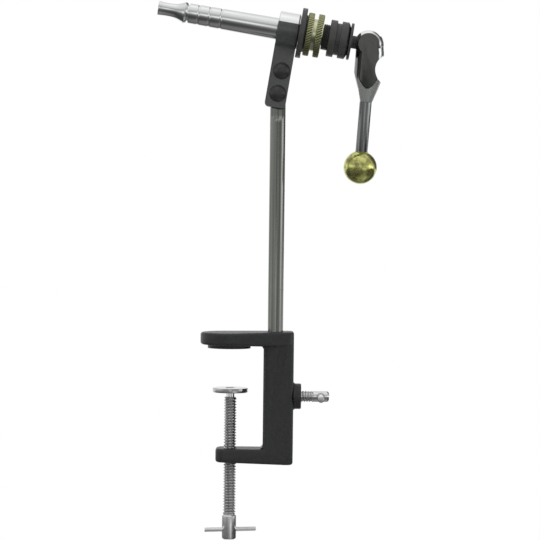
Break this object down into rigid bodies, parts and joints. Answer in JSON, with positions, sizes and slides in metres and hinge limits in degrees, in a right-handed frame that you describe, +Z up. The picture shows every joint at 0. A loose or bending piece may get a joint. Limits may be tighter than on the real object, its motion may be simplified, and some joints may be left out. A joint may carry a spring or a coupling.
{
  "type": "fly tying vise",
  "caption": "Fly tying vise: a table clamp carries an upright stem and a tilted barrel whose jaws are drawn shut by a cam lever.",
  "frame": {"origin": "where the clamp screw's axis meets the table clamp's upper clamping face", "axes": "+Z up along the clamp screw, +X from the jaws towards the lever, +Y away from the viewer of the picture"},
  "size_m": [0.1401, 0.0356, 0.3323],
  "materials": {
    "clamp_black": "satin black paint over a casting",
    "zinc": "bright zinc plate",
    "stem_steel": "ground steel",
    "head_black": "gloss black",
    "knob_black": "black oxide, turned",
    "chrome": "bright chrome",
    "jaw_chrome": "bright, turned",
    "brass": "polished, knurled on the nut",
    "lever_steel": "polished grey steel",
    "inner_steel": "plain steel"
  },
  "bodies": {
    "clamp": {"clamp_frame": "clamp_black"},
    "pad": {"clamp_pad": "zinc"},
    "screw": {"clamp_screw": "zinc", "clamp_screw_bar": "zinc"},
    "stem_lock": {"stem_screw": "zinc", "stem_screw_bar": "zinc"},
    "post": {"stem": "stem_steel", "head_strap": "head_black", "strap_rivets": "knob_black", "barrel_bush": "head_black"},
    "head": {"barrel": "chrome", "guide_pin": "inner_steel", "adjuster_sleeve": "knob_black"},
    "collar": {"lock_collar": "knob_black"},
    "nut": {"lock_nut": "brass"},
    "bush": {"thrust_bush": "knob_black"},
    "knob": {"adjusting_knob": "knob_black"},
    "drawbar": {"draw_rod": "inner_steel", "jaw_pins": "inner_steel", "return_spring": "inner_steel", "jaw_spring": "inner_steel"},
    "jaw_near": {"near_jaw": "jaw_chrome"},
    "jaw_far": {"far_jaw": "jaw_chrome"},
    "lever": {"cam_lever": "lever_steel", "lever_pin": "inner_steel", "lever_rod": "lever_steel", "lever_ball": "brass"}
  },
  "joints": [
    {"name": "clamp_travel", "type": "slide", "parent": "clamp", "child": "pad", "axis": [0, 0, 1], "range_m": [-0.0334, 0.0244]},
    {"name": "clamp_turn", "type": "hinge", "parent": "pad", "child": "screw", "pos_m": [0, 0, -0.03], "axis": [0, 0, 1], "range_deg": [-6871, 5020]},
    {"name": "stem_lock_turn", "type": "hinge", "parent": "clamp", "child": "stem_lock", "pos_m": [0.05, 0, -0.0295], "axis": [1, 0, 0], "range_deg": [0, 360]},
    {"name": "stem_height", "type": "slide", "parent": "clamp", "child": "post", "axis": [0, 0, 1], "range_m": [-0.13, 0.028]},
    {"name": "head_rotation", "type": "hinge", "parent": "post", "child": "head", "pos_m": [0.03306, 0, 0.19629], "axis": [0.9869, 0, -0.1616], "continuous": true},
    {"name": "collar_travel", "type": "slide", "parent": "head", "child": "collar", "axis": [0.9869, 0, -0.1616], "range_m": [0, 0.00034]},
    {"name": "nut_turn", "type": "hinge", "parent": "collar", "child": "nut", "pos_m": [0.04944, 0, 0.19361], "axis": [0.9869, 0, -0.1616], "range_deg": [0, 122.5]},
    {"name": "bush_travel", "type": "slide", "parent": "head", "child": "bush", "axis": [-0.9869, 0, 0.1616], "range_m": [0, 0.002]},
    {"name": "knob_turn", "type": "hinge", "parent": "bush", "child": "knob", "pos_m": [0.06464, 0, 0.19112], "axis": [-0.9869, 0, 0.1616], "range_deg": [0, 720.1]},
    {"name": "collet_draw", "type": "slide", "parent": "bush", "child": "drawbar", "axis": [-0.9869, 0, 0.1616], "range_m": [0, 0.0018], "deforming": ["return_spring"]},
    {"name": "lever_turn", "type": "hinge", "parent": "drawbar", "child": "lever", "pos_m": [0.08408, 0, 0.18794], "axis": [0, -1, 0], "range_deg": [0, 95]},
    {"name": "near_jaw_swing", "type": "hinge", "parent": "drawbar", "child": "jaw_near", "pos_m": [0.00296, -0.0021, 0.20122], "axis": [0.1616, 0, 0.9869], "range_deg": [0, 0.861], "deforming": ["jaw_spring"]},
    {"name": "far_jaw_swing", "type": "hinge", "parent": "drawbar", "child": "jaw_far", "pos_m": [0.00296, 0.0021, 0.20122], "axis": [-0.1616, 0, -0.9869], "range_deg": [0, 0.861]}
  ],
  "couplings": [
    {"joint": "clamp_turn", "follows": "clamp_travel", "rad_per_m": 3590.4},
    {"joint": "nut_turn", "follows": "collar_travel", "rad_per_m": 6283.4},
    {"joint": "knob_turn", "follows": "bush_travel", "rad_per_m": 6283.4},
    {"joint": "collet_draw", "follows": "lever_turn", "m_per_rad": 0.0010856},
    {"joint": "near_jaw_swing", "follows": "lever_turn", "ratio": 0.00905},
    {"joint": "far_jaw_swing", "follows": "lever_turn", "ratio": 0.00905}
  ]
}
